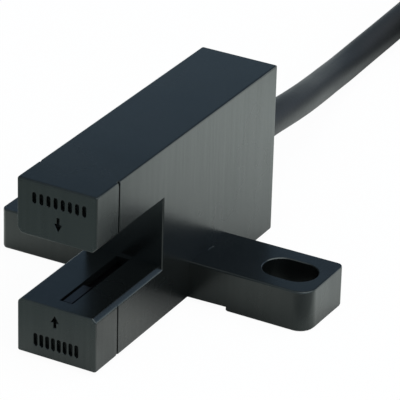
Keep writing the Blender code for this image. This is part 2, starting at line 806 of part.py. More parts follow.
def make_held_cable(parent):
    """The end of the sheath inside the case, with the bushing and the clamp around it."""
    start, end = SHEATH_FRONT, REAR + BUSHING_COLLAR
    bore = CABLE_DIAMETER / 2 + FIT
    sheath = rod_profile(CABLE_DIAMETER / 2, end - start)
    piece(turned("cable_entry", sheath, (0, start, CABLE_EXIT_Z)), "sheath", parent)

    clamp = ring_profile(bore, bore + CLAMP_THICKNESS, CLAMP_LENGTH)
    piece(turned("cable_clamp", clamp, (0, start + 2 * FIT, CABLE_EXIT_Z)), "metal", parent)

    radius, flange = BUSHING_DIAMETER / 2, BUSHING_FLANGE_THICKNESS
    flange_radius = INNER_X - FIT
    length = flange + FIT + COVER_THICKNESS + BUSHING_COLLAR
    tip = radius - BUSHING_TAPER
    bushing = [
        (bore, 0),
        (flange_radius, 0),
        (flange_radius, flange),
        (radius, flange),
        (radius, length - BUSHING_COLLAR * 0.6),
        ((radius + tip) / 2, length - BUSHING_COLLAR * 0.2),
        (tip, length),
        (bore, length),
    ]
    seat = COVER_INNER - FIT - flange
    piece(turned("cable_bushing", bushing, (0, seat, CABLE_EXIT_Z), steps=32), "rubber", parent)


def make_solder_joint(parent, name, pad_y, pad_z):
    dome = [(0, 0), *arc(0, 0, SOLDER_RADIUS, 0, 72, 4), (0, SOLDER_RADIUS)]
    dome = [(r, h * SOLDER_HEIGHT / SOLDER_RADIUS) for r, h in dome]
    joint = turned(name, dome, (BOARD_FACE_X + FIT, pad_y, pad_z), axis="Z", steps=16)
    joint.rotation_euler = (0, math.pi / 2, 0)
    piece(joint, "solder", parent)


def make_inner_cores(parent):
    """The three cores, from the sheath's end through the board's notch to their solder pads."""
    start = SHEATH_FRONT - FIT
    notch = CABLE_NOTCH_FRONT
    flat_x = BOARD_FACE_X + FIT + CORE_DIAMETER / 2
    pad_y = notch - PAD_FROM_NOTCH
    for row, (colour, angle) in zip((1, 0, -1), CORE_ANGLES.items()):
        x = CORE_ORBIT * math.cos(math.radians(angle))
        z = CABLE_EXIT_Z + CORE_ORBIT * math.sin(math.radians(angle))
        pad_z = CABLE_EXIT_Z + row * PAD_PITCH
        route = [
            (x, start, z),
            (x, start - CORE_DIAMETER / 2, z),
            (flat_x, notch - FIT, pad_z),
            (flat_x, (notch + pad_y) / 2, pad_z),
            (flat_x, pad_y + SOLDER_RADIUS + FIT, pad_z),
        ]
        points = smooth_line(route, CORE_DIAMETER)
        piece(tube(f"inner_core_{colour}", points, CORE_DIAMETER), colour, parent)
        make_solder_joint(parent, f"solder_joint_{colour}", pad_y, pad_z)


def coil_point(angle, radius, z):
    a = math.radians(angle)
    return (COIL_CENTRE[0] + radius * math.cos(a), COIL_CENTRE[1] + radius * math.sin(a), z)


def make_coil(parent):
    """The outer shape of the coiled cable: a turned ring that lies on its ties."""
    width = COIL_OUTER_RADIUS - COIL_INNER_RADIUS
    middle = (COIL_OUTER_RADIUS + COIL_INNER_RADIUS) / 2
    section = rounded_rectangle(width / 2, COIL_HEIGHT / 2, CABLE_DIAMETER / 2, steps=4)
    profile = [(middle + x, COIL_MIDDLE_Z + z) for x, z in section]
    piece(turned("cable_coil", profile, (*BUNDLE_CENTRE, 0), axis="Z", steps=56), "sheath", parent)
    for i, angle in enumerate(TIE_ANGLES):
        make_tie(parent, f"coil_tie_{i + 1}", angle, middle, width)


def make_tie(parent, name, angle, middle, width):
    """A flat strap around the coil's section, whose underside is on the floor."""
    corner = CABLE_DIAMETER / 2
    half = (width / 2 + FIT, COIL_HEIGHT / 2 + FIT)
    inside = rounded_rectangle(*half, corner, steps=4)
    outside = rounded_rectangle(*(h + TIE_THICKNESS for h in half), corner + TIE_THICKNESS, steps=4)
    tie, opening = (
        along_y(label, [(middle + x, COIL_MIDDLE_Z + z) for x, z in outline], -reach, reach)
        for label, outline, reach in (
            (name, outside, TIE_WIDTH / 2),
            (f"{name}_opening", inside, TIE_WIDTH),
        )
    )
    cut(tie, opening)
    for obj in (tie, opening):
        obj.location = Vector((*BUNDLE_CENTRE, 0)) * MM
        obj.rotation_euler = (0, 0, math.radians(angle))
    piece(tie, "tie", parent)


def make_cable(parent):
    """The free cable as far as its coil, and its stripped end on top of the coil."""
    piece(tube("cable", smooth_line(CABLE_ROUTE, ROUTE_STEP), CABLE_DIAMETER), "sheath", parent)
    z = COIL_TOP + FIT + CABLE_DIAMETER / 2
    first, last = TAIL_ARC
    count = 3
    angles = [first + (last - first) * i / count for i in range(count + 1)]
    tail = [coil_point(a, TAIL_RADIUS, z) for a in angles]
    piece(tube("cable_tail", tail, CABLE_DIAMETER), "sheath", parent)
    for side, (colour, angle) in zip((1, 0, -1), CORE_ANGLES.items()):
        points = end_core_line(math.radians(angle - 120), side, last, z)
        piece(tube(f"end_core_{colour}", points, CORE_DIAMETER), colour, parent)


def end_core_line(place, side, angle, z):
    """A bared core that leaves the sheath at its place around the axis and comes to lie on the coil."""
    out, up = CORE_ORBIT * math.cos(place), CORE_ORBIT * math.sin(place)
    low = COIL_TOP + FIT + CORE_DIAMETER / 2
    per_mm = math.degrees(1 / TAIL_RADIUS)
    route = []
    for run in (FIT, 3.0, 8.0, 15.0, 25.0, END_CORE_LENGTH):
        share = min(1.0, (run - FIT) / END_CORE_DROP)
        radius = TAIL_RADIUS + out * (1 - share) + side * END_CORE_SPREAD * share
        height = (z + up) * (1 - share) + low * share
        route.append(coil_point(angle - per_mm * run, radius, height))
    return smooth_line(route, 2 * CORE_DIAMETER)


def main():
    clear_scene()
    root = bpy.data.objects.new("photo_sensor", None)
    bpy.context.scene.collection.objects.link(root)
    make_case(root)
    make_rear_cover(root)
    for name, upper in (("emitter", False), ("receiver", True)):
        make_window(root, f"{name}_window", upper)
        make_holder(root, f"{name}_holder", upper)
        element = "photo_receiver" if upper else "infrared_emitter"
        make_light_element(root, element, f"{name}_resin", upper)
    make_board(root)
    make_electronics(root)
    make_held_cable(root)
    make_inner_cores(root)
    make_cable(root)
    make_coil(root)


main()
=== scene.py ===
"""Looks of a slot-type photo sensor: moulded case, windows, cable with its coil, ties and bared cores.

Lengths are written in millimetres and multiplied by MM. The frame is the CAD model's: X along the mounting
bar, Y from the slot's mouth to the cable, Z up, with the origin on the surface under the middle of the case.
"""

import math

import bmesh
import bpy
import numpy as np
from mathutils import Matrix, Vector


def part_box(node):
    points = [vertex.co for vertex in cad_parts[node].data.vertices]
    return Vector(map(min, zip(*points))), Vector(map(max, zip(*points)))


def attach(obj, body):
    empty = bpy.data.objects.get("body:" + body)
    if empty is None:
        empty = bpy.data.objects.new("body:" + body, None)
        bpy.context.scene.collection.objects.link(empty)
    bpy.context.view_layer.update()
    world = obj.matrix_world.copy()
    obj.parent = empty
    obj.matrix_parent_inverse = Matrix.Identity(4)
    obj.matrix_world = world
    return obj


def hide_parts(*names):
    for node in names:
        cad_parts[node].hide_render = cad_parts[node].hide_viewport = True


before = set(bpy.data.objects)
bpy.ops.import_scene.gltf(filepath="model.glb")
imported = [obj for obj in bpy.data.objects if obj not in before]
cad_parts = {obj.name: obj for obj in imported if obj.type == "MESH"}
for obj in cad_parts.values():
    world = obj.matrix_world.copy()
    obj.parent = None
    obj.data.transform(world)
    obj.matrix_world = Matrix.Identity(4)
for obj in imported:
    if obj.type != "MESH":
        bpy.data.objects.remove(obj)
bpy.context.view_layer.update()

MM = 0.001

# Camera, from the fit of the photograph's edges
IMAGE_WIDTH = 400.0
CAMERA_PLACE = (154.41, -271.39, 169.62)
CAMERA_AZIMUTH = 0.4992844  # radians, as the next two
CAMERA_ELEVATION = 0.4674137
CAMERA_ROLL = 0.0276107
CAMERA_FOCAL_PIXELS = 3046.837
SENSOR_WIDTH = 36.0

# Cable, from the bushing's mouth to the start of the coil
CABLE_RADIUS = 2.0
PATH_STEP = 1.5
BUSHING_MOUTH = (0.0, 22.16, 10.6)
CABLE_ROUTE = (
    (0.0, 22.45, 10.6),
    (0.0, 25.6, 10.58),
    (-0.12, 29.0, 10.38),
    (-0.43, 32.4, 9.84),
    (-1.04, 36.8, 8.97),
    (-2.26, 42.5, 7.54),
    (-4.09, 49.5, 5.6),
    (-5.87, 56.6, 3.8),
    (-6.96, 62.3, 2.68),
    (-7.59, 67.2, 2.14),
    (-7.84, 72.0, 2.02),
    (-8.02, 78.0, 2.0),
    (-8.18, 82.8, 2.0),
    (-8.3, 87.0, 2.03),
)
CABLE_RISE = ((-8.39, 91.2, 2.18), (-8.44, 95.8, 2.48))

# Coil: a lower layer that winds inwards and an upper one that winds outwards, clockwise as seen from above
COIL_CENTRE = (21.0, 101.0)
COIL_OUTER = 29.45  # radius of the outermost turn's centre line
COIL_INNER = 17.3
COIL_PITCH = 4.05
COIL_TURNS = 3.0  # in a layer
COIL_START = 180.0  # degrees, as all angles here
LAYER_LOW = 2.66
LAYER_HIGH = 6.72
CLIMB_ANGLE = 60.0  # over which the cable rises from the lower layer to the upper
RAMP_START = 165.0  # where the end leaves the upper layer
TAIL_RADIUS = 24.0
TAIL_HEIGHT = 11.12
TAIL_ARC = (98.0, 56.0)
LAYER_STEPS = 200
CLIMB_STEPS = 16
RAMP_STEPS = 20
TAIL_STEPS = 12

# Bared cores at the cable's end, and the straps round the coil
CORE_DIAMETER = 1.1
CORE_ORBIT = 0.8
CORE_STEP = 0.5
END_CORE_LENGTH = 35.0
END_CORE_DROP = 8.0
END_CORE_SPREAD = 2.1
END_CORE_HEIGHT = 9.3
TIN_LENGTH = 6.0
TIN_SHARE = 0.64  # of the insulation's diameter
TIE_CENTRE = (20.134, 101.5)  # middle of the bundle, which the two layers shift off the coil's centre
TIE_ANGLES = (170.0, 318.0)
TIE_THICKNESS = 0.6
TIE_WIDTH = 2.6
TIE_EDGE = 0.12
TIE_CLEARANCE = 0.04
TIE_SEARCH = 20.0  # how far round from a strap the cable is looked for
TIE_STEPS = 96  # round its section

# Case
CASE_LOW, CASE_HIGH = (tuple(corner / MM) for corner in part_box("case"))
FRONT, TOP, BAR_END = CASE_LOW[1], CASE_HIGH[2], CASE_HIGH[0]
HALF_WIDTH = 5.1
BASE = 0.56
SLOT_FLOOR = BASE + 6.8
SLOT_ROOF = TOP - 6.76
BAR_TOP = 5.18
BAR_FRONT = FRONT + 20.9
BAR_REAR = BAR_FRONT + 8.92
BAR_RADIUS = 2.0
TIGHT_CORNERS = ((-BAR_END, BAR_FRONT), (BAR_END, BAR_REAR))
TIGHT_RADIUS = 0.7
EDGE_EASE = 0.2
EASE_SHARE = 0.14  # of the narrower face beside an edge
SHARP = math.radians(33)
CAVITY_HALF_WIDTH = 4.3
CAVITY_INSET = 0.6  # from the front, the base and the top to where the cavity's edges begin

# Marks pressed into the two front faces: rows of plain bars, and arrows that point at the slot
MARK_DEPTH = 0.6
MARK_CLEAR = 1.0  # how far in front of the face their cutter begins
MARK_BARS = 8
MARK_WIDTH = 0.5
MARK_ROWS = ((-3.13, 3.72, 20.2, 1.35), (-2.95, 2.85, 2.6, 1.6))  # both ends in x, middle z, height
ARROWS = ((0.15, 17.65, 1.0, 1.7, -1), (-0.2, 5.5, 1.0, 1.5, 1))  # middle x and z, width, height, up or down
ARROW_NECK = 0.1  # of half the height, from the middle down to where the head ends
ARROW_SHANK = 0.18  # of the width, from the middle to the shank's side

# Hairlines that the mould leaves
RIM_INSET = 0.36
RIM_CORNER = 0.35
RIM_RADIUS = 0.045
RIM_STEP = 0.25
RIM_SUNK = 0.012  # how far its middle lies below the face
RIDGE_DRIFT = ((0.2, 2.1, 0.0), (0.15, 5.3, 1.0), (0.1, 11.7, 2.0))  # share, radians in a millimetre, start
INSERT_X = -3.3
INSERT_HEIGHTS = (0.75, 1.4, 2.1, 2.8, 3.5)
INSERT_RADIUS = 0.13
INSERT_SUNK = 0.03
GATE_CENTRE = (5.7, 4.3)
GATE_RADII = (0.2, 0.8)
GATE_ARC = (110.0, 230.0)
GATE_RADIUS = 0.06
GATE_PROUD = 0.01  # how far its middle lies above the bar

# Surface that the mould leaves on plastic
WAVES_PER_METRE = 140.0
PATCHES_PER_METRE = 90.0
STREAKS_PER_METRE = (2200.0, 2200.0, 55.0)
PATCH_SPREAD = (0.2, 0.8)  # of the noise, which become 0 and 1
STREAK_SPREAD = (0.3, 0.75)
METAL_DRIFT = 1.15  # how much lighter a metal's colour gets in places

# Shine of the black plastic, which grows from the upper arm's tip downwards and to the rear
SHEEN_RUN = (0.0, 1.0, -1.0)
SHEEN_FROM, SHEEN_TO = -42.0, -24.0
SHEEN = (0.0, 0.18)  # weight of the coat

# Sky that the object mirrors, by its direction's Z and by its X
SKY_BY_HEIGHT = (
    (0.0, (0.54, 0.6, 0.66)),
    (0.15, (0.28, 0.36, 0.44)),
    (0.36, (0.25, 0.35, 0.44)),
    (0.42, (0.17, 0.26, 0.36)),
    (0.46, (0.09, 0.145, 0.215)),
    (0.52, (0.08, 0.12, 0.18)),
    (0.65, (0.06, 0.09, 0.14)),
    (0.8, (0.4, 0.45, 0.48)),
)
SKY_BY_SIDE = (
    (0.0, (0.5, 0.5, 0.5)),
    (0.45, (0.8, 0.75, 0.8)),
    (0.65, (1.5, 1.42, 1.34)),
)
SKY_STRENGTH = 2.0

# Floor, and the backdrop that the object mirrors in it, a painted reflection glowing by how far a place lies
# to the back right
FLOOR_REACH = 3000.0
FLOOR_WHITE = 0.96  # how far the camera sees the floor lifted to white
BACKDROP_SHARE = 0.8
BACKDROP_RUN = (0.427, 0.784, 0.0)
BACKDROP_FROM, BACKDROP_TO = -28.0, 54.0
BACKDROP = (
    (0.0, (0.46, 0.56, 0.54)),
    (0.2, (1.38, 1.43, 1.37)),
    (0.32, (1.25, 1.27, 1.2)),
    (0.4, (0.62, 0.64, 0.6)),
    (0.5, (1.2, 1.26, 1.2)),
    (0.6, (1.28, 1.37, 1.32)),
    (1.0, (1.5, 1.62, 1.56)),
)
BACKDROP_SHADE = 60.0  # reach of the object's own shade on it
BACKDROP_SHADE_POWER = 1.5

# The backdrop's painted strength across that way, and towards the front right a patch where it is painted
# darker
ACROSS_RUN = (1.0, -1.0, 0.0)
ACROSS_FROM, ACROSS_TO = -30.0, 30.0
ACROSS = (
    (0.0, 1.0),
    (0.35, 0.95),
    (0.5, 0.92),
    (0.6, 0.82),
    (0.66, 0.82),
    (0.72, 1.08),
    (0.77, 1.18),
    (0.87, 1.04),
)
# Painted shade: where, and by how much, the mirrored backdrop is darkened
PAINTED_DARK_ACROSS = (21.0, 25.5)
PAINTED_DARK_ALONG = (-9.0, -5.0)
PAINTED_DARK_SHADE = 0.6


# Camera

def set_camera():
    """Looks along (-sin az cos el, cos az cos el, -sin el), then turned by the roll about that line."""
    az, el, roll = CAMERA_AZIMUTH, CAMERA_ELEVATION, CAMERA_ROLL
    forward = Vector((-math.sin(az) * math.cos(el), math.cos(az) * math.cos(el), -math.sin(el)))
    level = forward.cross(Vector((0, 0, 1))).normalized()
    upright = level.cross(forward)
    right = math.cos(roll) * level + math.sin(roll) * upright
    up = math.cos(roll) * upright - math.sin(roll) * level
    data = bpy.data.cameras.new("camera")
    data.sensor_width = SENSOR_WIDTH
    data.lens = CAMERA_FOCAL_PIXELS / IMAGE_WIDTH * SENSOR_WIDTH
    data.clip_start = 0.01
    data.clip_end = 10.0
    camera = bpy.data.objects.new("camera", data)
    turn = Matrix((right, up, -forward)).transposed().to_4x4()
    camera.matrix_world = Matrix.Translation(Vector(CAMERA_PLACE) * MM) @ turn
    bpy.context.scene.collection.objects.link(camera)
    bpy.context.scene.camera = camera


# Meshes and paths

def add_object(name, points, faces):
    """An object at the origin from points in millimetres and lists of corner numbers."""
    mesh = bpy.data.meshes.new(name)
    mesh.from_pydata((np.asarray(points) * MM).tolist(), [], faces)
    obj = bpy.data.objects.new(name, mesh)
    bpy.context.scene.collection.objects.link(obj)
    return obj


def outwards(obj):
    """Turns every face of a closed mesh to point out of it."""
    bm = bmesh.new()
    bm.from_mesh(obj.data)
    bmesh.ops.recalc_face_normals(bm, faces=bm.faces)
    bm.to_mesh(obj.data)
    bm.free()


def smooth_but_sharp(obj, degrees):
    """Turns the faces outwards and shades them round, apart from edges that turn by more than the angle."""
    outwards(obj)
    obj.data.polygons.foreach_set("use_smooth", np.ones(len(obj.data.polygons), dtype=bool))
    obj.data.set_sharp_from_angle(angle=math.radians(degrees))


def grid_faces(rows, columns, wrap_rows=False):
    """Corner numbers of a grid's quads, closed across the columns, and on request along the rows."""
    i, j = np.meshgrid(np.arange(rows if wrap_rows else rows - 1), np.arange(columns), indexing="ij")
    i2, j2 = (i + 1) % rows, (j + 1) % columns
    corners = [i * columns + j, i * columns + j2, i2 * columns + j2, i2 * columns + j]
    return np.stack(corners, axis=-1).reshape(-1, 4).tolist()


def smooth_path(knots, step):
    """Points about a step apart on the Catmull-Rom curve through the knots:
    half of 2 p1 + (p2 - p0) t + (2 p0 - 5 p1 + 4 p2 - p3) t^2 + (3 p1 - p0 - 3 p2 + p3) t^3."""
    k = np.asarray(knots, dtype=float)
    k = np.vstack([2 * k[0] - k[1], k, 2 * k[-1] - k[-2]])
    parts = []
    for p0, p1, p2, p3 in zip(k, k[1:], k[2:], k[3:]):
        n = max(1, int(round(np.linalg.norm(p2 - p1) / step)))
        t = (np.arange(n) / n)[:, None]
        square = (2 * p0 - 5 * p1 + 4 * p2 - p3) * t**2
        cube = (3 * p1 - p0 - 3 * p2 + p3) * t**3
        parts.append(0.5 * (2 * p1 + (p2 - p0) * t + square + cube))
    return np.vstack([*parts, k[-2]])


def even_path(points, step):
    """The same path, read again at even distances along it."""
    run = np.concatenate([[0.0], np.cumsum(np.linalg.norm(np.diff(points, axis=0), axis=1))])
    at = np.linspace(0.0, run[-1], max(2, int(round(run[-1] / step)) + 1))
    return np.stack([np.interp(at, run, points[:, a]) for a in range(3)], axis=1)


def path_sides(points):
    """Unit side and up vectors along a path: side is tangent x world up, and up is side x tangent."""
    tangent = np.gradient(points, axis=0)
    tangent /= np.linalg.norm(tangent, axis=1, keepdims=True)
    side = np.cross(tangent, np.array([0.0, 0.0, 1.0]))
    side /= np.linalg.norm(side, axis=1, keepdims=True)
    return side, np.cross(side, tangent)


def tube(name, points, radii, around):
    """A tube: point(i, a) = path(i) + radius(i) (cos a side(i) + sin a up(i)), closed by a flat fan at both
    ends."""
    side, up = path_sides(points)
    a = np.linspace(0.0, 2 * math.pi, around, endpoint=False)
    radii = np.broadcast_to(radii, len(points))
    ring = np.cos(a)[None, :, None] * side[:, None, :] + np.sin(a)[None, :, None] * up[:, None, :]
    skin = points[:, None, :] + radii[:, None, None] * ring
    count = len(points)
    j = np.arange(around)
    j2 = (j + 1) % around
    base = (count - 1) * around
    first, last = count * around, count * around + 1
    faces = grid_faces(count, around)
    faces += np.stack([j2, j, np.full(around, first)], axis=1).tolist()
    faces += np.stack([base + j, base + j2, np.full(around, last)], axis=1).tolist()
    obj = add_object(name, np.vstack([skin.reshape(-1, 3), points[0], points[-1]]), faces)
    smooth_but_sharp(obj, degrees=50)
    return obj


# Cable: route, coil, bared cores and straps

def on_coil(angle, radius, height):
    """Points around the coil at given heights: centre + radius (cos angle, sin angle), in degrees."""
    a = np.radians(angle)
    x = COIL_CENTRE[0] + radius * np.cos(a)
    y = COIL_CENTRE[1] + radius * np.sin(a)
    return np.stack(np.broadcast_arrays(x, y, height), axis=1)


def ease(t):
    """A soft step from 0 to 1: 3 t^2 - 2 t^3."""
    return t * t * (3 - 2 * t)


def coil_path():
    """The turns: radius falls by a pitch per turn in the lower layer, grows by a pitch per turn in the upper
    one, and the end rises over the turn beside it, keeping a diameter away, to lie on top."""
    t = np.linspace(0.0, COIL_TURNS, LAYER_STEPS)
    low = on_coil(COIL_START - 360 * t, COIL_OUTER - COIL_PITCH * t, LAYER_LOW)
    s = np.linspace(0.0, 1.0, CLIMB_STEPS)[1:]
    rise = LAYER_LOW + (LAYER_HIGH - LAYER_LOW) * ease(s)
    climb = on_coil(COIL_START - CLIMB_ANGLE * s, COIL_INNER, rise)
    start = COIL_START - CLIMB_ANGLE
    turns = (start - RAMP_START) / 360 + COIL_TURNS
    t = np.linspace(0.0, turns, LAYER_STEPS)[1:]
    high = on_coil(start - 360 * t, COIL_INNER + COIL_PITCH * t, LAYER_HIGH)
    s = np.linspace(0.0, 1.0, RAMP_STEPS)[1:]
    beside = COIL_INNER + COIL_PITCH * (turns - 1 + s * (RAMP_START - TAIL_ARC[0]) / 360)
    out, up = TAIL_RADIUS - beside[-1], TAIL_HEIGHT - LAYER_HIGH
    away = COIL_PITCH + (math.hypot(out, up) - COIL_PITCH) * s
    turn = math.atan2(up, out) * ease(s)
    angle = RAMP_START + (TAIL_ARC[0] - RAMP_START) * s
    ramp = on_coil(angle, beside + away * np.cos(turn), LAYER_HIGH + away * np.sin(turn))
    tail = on_coil(np.linspace(*TAIL_ARC, TAIL_STEPS)[1:], TAIL_RADIUS, TAIL_HEIGHT)
    return np.vstack([low, climb, high, ramp, tail])


def cable_path():
    """The whole cable: from the bushing's mouth along the route, then through every turn of the coil."""
    coil = coil_path()
    free = smooth_path(np.vstack([BUSHING_MOUTH, CABLE_ROUTE, CABLE_RISE, coil[0]]), PATH_STEP)
    return even_path(np.vstack([free[:-1], coil]), PATH_STEP)


def end_core_path(place, side):
    """A bared core: it starts CORE_ORBIT from the sheath's centre, at the angle of its place, and blends
    over END_CORE_DROP into an arc on the coil's top, END_CORE_SPREAD to its side."""
    run = np.array([0.0, 3.0, END_CORE_DROP, 15.0, 25.0, END_CORE_LENGTH])
    share = np.minimum(1.0, run / END_CORE_DROP)
    out, up = CORE_ORBIT * math.cos(place), CORE_ORBIT * math.sin(place)
    radius = TAIL_RADIUS + out * (1 - share) + side * END_CORE_SPREAD * share
    height = (TAIL_HEIGHT + up) * (1 - share) + END_CORE_HEIGHT * share
    return smooth_path(on_coil(TAIL_ARC[1] - np.degrees(run / TAIL_RADIUS), radius, height), CORE_STEP)


def make_end_core(colour, place, side):
    """Insulation of full diameter, then a bare tinned tip of TIN_SHARE of it that begins just inside."""
    path = even_path(end_core_path(place, side), CORE_STEP)
    run = np.arange(len(path)) * CORE_STEP
    first = int(np.argmax(run >= run[-1] - TIN_LENGTH))
    cover = tube(f"end_core_{colour}_skin", path[: first + 1], CORE_DIAMETER / 2, around=12)
    tip = tube(f"end_core_{colour}_tip", path[first - 1 :], CORE_DIAMETER / 2 * TIN_SHARE, around=10)
    return cover, tip


def tie_section(angle, path):
    """Outline of a strap's inner face: the cable's outermost point in each direction of the strap's plane.
    The cable crosses that plane where its bearing round the bundle falls through the strap's angle."""
    offset = path[:, :2] - np.array(TIE_CENTRE)
    bearing = np.degrees(np.arctan2(offset[:, 1], offset[:, 0])) - angle
    bearing = (bearing + 180) % 360 - 180
    radius = np.linalg.norm(offset, axis=1)
    falls = (bearing[:-1] > 0) & (bearing[1:] <= 0)
    near = (bearing[:-1] < TIE_SEARCH) & (radius[:-1] < COIL_OUTER + CABLE_RADIUS)
    centres = np.stack([radius[:-1][falls & near], path[:-1, 2][falls & near]], axis=1)
    a = np.linspace(0.0, 2 * math.pi, TIE_STEPS, endpoint=False)
    normal = np.stack([np.cos(a), np.sin(a)], axis=1)
    outermost = np.argmax(centres @ normal.T, axis=0)
    return centres[outermost] + (CABLE_RADIUS + TIE_CLEARANCE) * normal, normal


def make_tie(name, angle, path):
    """A strap: place(i, k) = inner(i) + depth(k) normal(i) + shift(k) along, for the points i of its section
    round the bundle and the eight points k of its flat profile with cut edges."""
    inner, normal = tie_section(angle, path)
    outer = inner + TIE_THICKNESS * normal
    inner_edge, outer_edge = inner + TIE_EDGE * normal, outer - TIE_EDGE * normal
    half = TIE_WIDTH / 2
    short = half - TIE_EDGE
    loop = [(inner, -short), (inner_edge, -half), (outer_edge, -half), (outer, -short)]
    loop += [(outer, short), (outer_edge, half), (inner_edge, half), (inner, short)]
    a = math.radians(angle)
    out, along = np.array([math.cos(a), math.sin(a), 0.0]), np.array([-math.sin(a), math.cos(a), 0.0])
    rows = []
    for section, shift in loop:
        place = np.array([*TIE_CENTRE, 0.0]) + section[:, :1] * out + shift * along
        place[:, 2] = np.maximum(section[:, 1], 0.0)
        rows.append(place)
    points = np.stack(rows, axis=1).reshape(-1, 3)
    tie = add_object(name, points, grid_faces(len(inner), len(loop), wrap_rows=True))
    smooth_but_sharp(tie, degrees=40)
    return tie


# Shader nodes

def add_node(tree, kind, **settings):
    """A node with its properties set by name, and its inputs by name or number. A socket makes a link."""
    node = tree.nodes.new(kind)
    values = settings.pop("inputs", {})
    for key, value in settings.items():
        setattr(node, key, value)
    for key, value in values.items():
        if isinstance(value, bpy.types.NodeSocket):
            tree.links.new(value, node.inputs[key])
        else:
            node.inputs[key].default_value = value
    return node


def math_node(tree, operation, a, b=0.0, c=0.0):
    """The result of a Math node on up to three values or sockets."""
    return add_node(tree, "ShaderNodeMath", operation=operation, inputs={0: a, 1: b, 2: c}).outputs[0]


def map_range(tree, value, start, end, low=0.0, high=1.0, kind="LINEAR"):
    """Low up to the start and high past the end, with a straight rise between them, or a soft one for
    SMOOTHSTEP."""
    inputs = {0: value, 1: start, 2: end, 3: low, 4: high}
    return add_node(tree, "ShaderNodeMapRange", interpolation_type=kind, inputs=inputs).outputs[0]


def along(tree, way):
    """How many millimetres a point of the surface lies along a way from the origin: their dot product."""
    place = add_node(tree, "ShaderNodeTexCoord").outputs["Object"]
    per_mm = tuple(part / MM for part in way)
    dot = add_node(tree, "ShaderNodeVectorMath", operation="DOT_PRODUCT", inputs={0: place, 1: per_mm})
    return dot.outputs["Value"]


def colour_ramp(tree, value, stops):
    """A colour that runs straight from stop to stop, each a position from 0 to 1 and a colour."""
    ramp = add_node(tree, "ShaderNodeValToRGB", inputs={0: value})
    elements = ramp.color_ramp.elements
    while len(elements) < len(stops):
        elements.new(1.0)
    for element, (position, colour) in zip(elements, stops):
        element.position = position
        element.color = (*colour, 1.0)
    return ramp.outputs[0]


def noise(tree, place, scale, detail):
    """Fractal noise around a half."""
    inputs = {"Vector": place, "Scale": scale, "Detail": detail}
    return add_node(tree, "ShaderNodeTexNoise", inputs=inputs).outputs[0]


def seen_directly(tree):
    """One where the camera looks, straight or through glass."""
    rays = add_node(tree, "ShaderNodeLightPath")
    return math_node(tree, "MAXIMUM", rays.outputs["Is Camera Ray"], rays.outputs["Is Transmission Ray"])


def mix_shaders(tree, share, first, second):
    """The first shader where the share is 0, and the second where it is 1."""
    return add_node(tree, "ShaderNodeMixShader", inputs={0: share, 1: first, 2: second}).outputs[0]


# Finishes

def grain_group():
    """Moulded surface: a fine spark-eroded grain, slow waviness, and faint streaks along Z from the mould's
    draw. Height is their weighted sum. Shade goes from 0 to 1 in broad soft patches, Gloss in streaks."""
    tree = bpy.data.node_groups.new("moulded grain", "ShaderNodeTree")
    for label, value in (("Grain Size", 0.3), ("Waviness", 1.0), ("Streaks", 0.0)):
        socket = tree.interface.new_socket(label, in_out="INPUT", socket_type="NodeSocketFloat")
        socket.default_value = value
    for label in ("Height", "Shade", "Gloss"):
        tree.interface.new_socket(label, in_out="OUTPUT", socket_type="NodeSocketFloat")
    source, target = tree.nodes.new("NodeGroupInput"), tree.nodes.new("NodeGroupOutput")
    place = add_node(tree, "ShaderNodeTexCoord").outputs["Object"]
    per_metre = math_node(tree, "DIVIDE", 1.0 / MM, source.outputs["Grain Size"])
    fine = noise(tree, place, per_metre, 2.0)
    slow = noise(tree, place, WAVES_PER_METRE, 1.0)
    drawn = add_node(tree, "ShaderNodeMapping", inputs={"Vector": place, "Scale": STREAKS_PER_METRE})
    streak = noise(tree, drawn.outputs[0], 1.0, 2.0)
    height = math_node(tree, "MULTIPLY_ADD", slow, source.outputs["Waviness"], fine)
    height = math_node(tree, "MULTIPLY_ADD", streak, source.outputs["Streaks"], height)
    patches = noise(tree, place, PATCHES_PER_METRE, 3.0)
    shade = map_range(tree, patches, *PATCH_SPREAD, kind="SMOOTHSTEP")
    gloss = map_range(tree, streak, *STREAK_SPREAD, kind="SMOOTHSTEP")
    for label, value in (("Height", height), ("Shade", shade), ("Gloss", gloss)):
        tree.links.new(value, target.inputs[label])
    return tree


MOULDED_GRAIN = grain_group()


def plastic(name, dark, light, rough, grain_size=0.3, waviness=1.0, streaks=0.0, bump=0.01):
    """A plastic whose colour and roughness drift between two values, with the moulded grain as bump. The
    grain's size and the bump's height are in millimetres."""
    made = bpy.data.materials.new(name)
    made.use_nodes = True
    tree = made.node_tree
    shader = tree.nodes["Principled BSDF"]
    settings = {"Grain Size": grain_size, "Waviness": waviness, "Streaks": streaks}
    grain = add_node(tree, "ShaderNodeGroup", name="grain", node_tree=MOULDED_GRAIN, inputs=settings)
    shade = grain.outputs["Shade"]
    mixed = {0: shade, 6: (*dark, 1.0), 7: (*light, 1.0)}
    colour = add_node(tree, "ShaderNodeMix", data_type="RGBA", inputs=mixed)
    relief = {"Height": grain.outputs["Height"], "Distance": bump * MM, "Strength": 1.0}
    dents = add_node(tree, "ShaderNodeBump", inputs=relief)
    tree.links.new(colour.outputs[2], shader.inputs["Base Color"])
    tree.links.new(map_range(tree, shade, 0.0, 1.0, *rough), shader.inputs["Roughness"])
    tree.links.new(dents.outputs[0], shader.inputs["Normal"])
    return made


def add_sheen(made, streak_shine, rough, tint):
    """Adds the sheen of polished plastic: a coat that grows away from the upper arm's tip, and by
    streak_shine in the streaks, over a slightly tinted mirror."""
    tree = made.node_tree
    shader = tree.nodes["Principled BSDF"]
    gloss = tree.nodes["grain"].outputs["Gloss"]
    sheen = map_range(tree, along(tree, SHEEN_RUN), SHEEN_FROM, SHEEN_TO, *SHEEN, kind="SMOOTHSTEP")
    coat = math_node(tree, "MULTIPLY_ADD", gloss, streak_shine, sheen)
    tree.links.new(coat, shader.inputs["Coat Weight"])
    shader.inputs["Coat Roughness"].default_value = rough
    shader.inputs["Specular Tint"].default_value = (*tint, 1.0)


